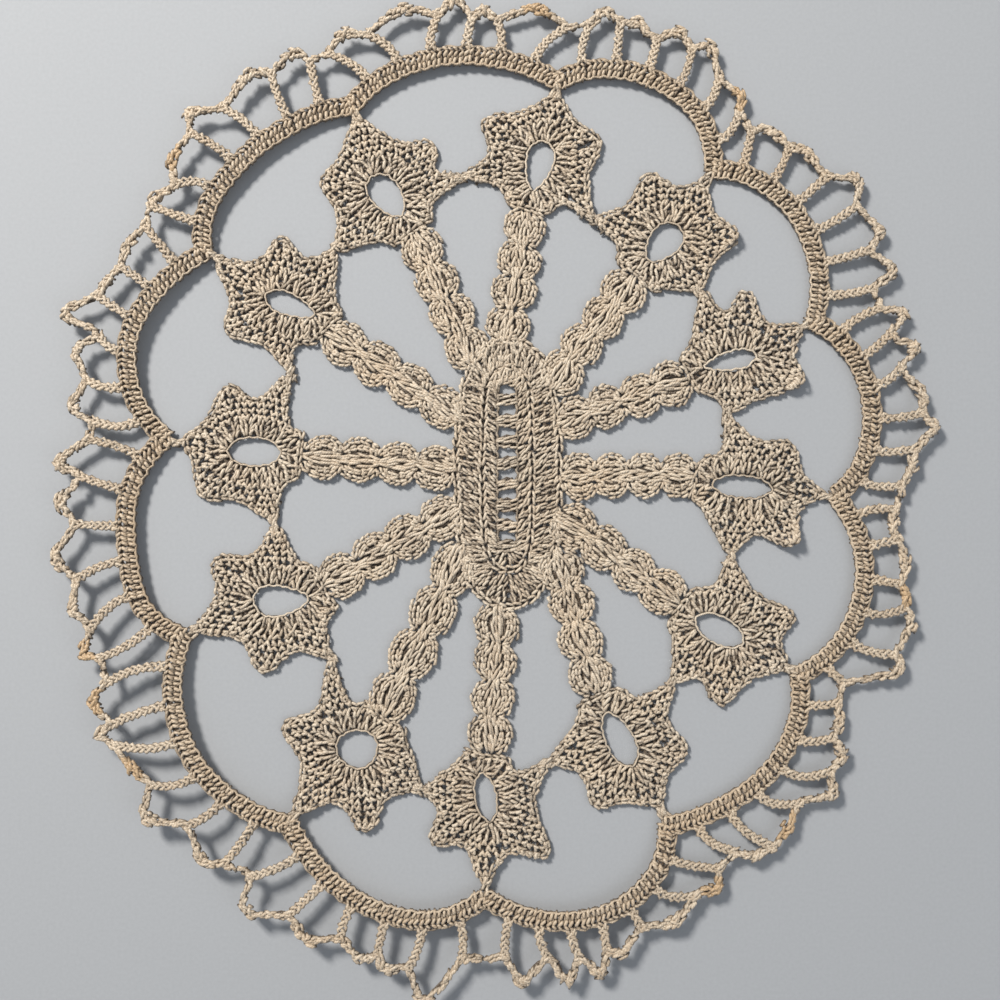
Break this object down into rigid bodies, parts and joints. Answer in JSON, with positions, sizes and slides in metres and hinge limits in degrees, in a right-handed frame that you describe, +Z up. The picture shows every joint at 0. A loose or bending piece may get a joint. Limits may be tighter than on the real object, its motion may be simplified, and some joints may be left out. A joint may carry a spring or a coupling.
{
  "type": "lace doily",
  "caption": "Round crocheted cotton doily: a long middle medallion, shell-stitch arms, open-eyed star rosettes, a scalloped ring and a looped chain edging. A mat to set things on.",
  "frame": {"origin": "centre of the medallion, on the doily's underside, in the plane of the surface it rests on", "axes": "+Y along the medallion and the doily's longer way, towards the rosette numbered 01; +Z up, out of the worked face; +X to the right seen from above"},
  "size_m": [0.2855, 0.3245, 0.008],
  "materials": {
    "medallion_cotton": "matte",
    "arm_cotton": "matte",
    "rosette_cotton": "matte",
    "ring_cotton": "matte",
    "edging_cotton": "matte"
  },
  "bodies": {
    "root": {"medallion": "medallion_cotton", "arm_01": "arm_cotton", "arm_02": "arm_cotton", "arm_03": "arm_cotton", "arm_04": "arm_cotton", "arm_05": "arm_cotton", "arm_06": "arm_cotton", "arm_07": "arm_cotton", "arm_08": "arm_cotton", "arm_09": "arm_cotton", "arm_10": "arm_cotton", "arm_11": "arm_cotton", "arm_12": "arm_cotton", "rosette_01": "rosette_cotton", "rosette_02": "rosette_cotton", "rosette_03": "rosette_cotton", "rosette_04": "rosette_cotton", "rosette_05": "rosette_cotton", "rosette_06": "rosette_cotton", "rosette_07": "rosette_cotton", "rosette_08": "rosette_cotton", "rosette_09": "rosette_cotton", "rosette_10": "rosette_cotton", "rosette_11": "rosette_cotton", "rosette_12": "rosette_cotton", "scallop_01": "ring_cotton", "scallop_02": "ring_cotton", "scallop_03": "ring_cotton", "scallop_04": "ring_cotton", "scallop_05": "ring_cotton", "scallop_06": "ring_cotton", "scallop_07": "ring_cotton", "scallop_08": "ring_cotton", "scallop_09": "ring_cotton", "scallop_10": "ring_cotton", "scallop_11": "ring_cotton", "scallop_12": "ring_cotton", "edging_01": "edging_cotton", "edging_02": "edging_cotton", "edging_03": "edging_cotton", "edging_04": "edging_cotton", "edging_05": "edging_cotton", "edging_06": "edging_cotton", "edging_07": "edging_cotton", "edging_08": "edging_cotton", "edging_09": "edging_cotton", "edging_10": "edging_cotton", "edging_11": "edging_cotton", "edging_12": "edging_cotton"}
  },
  "joints": []
}
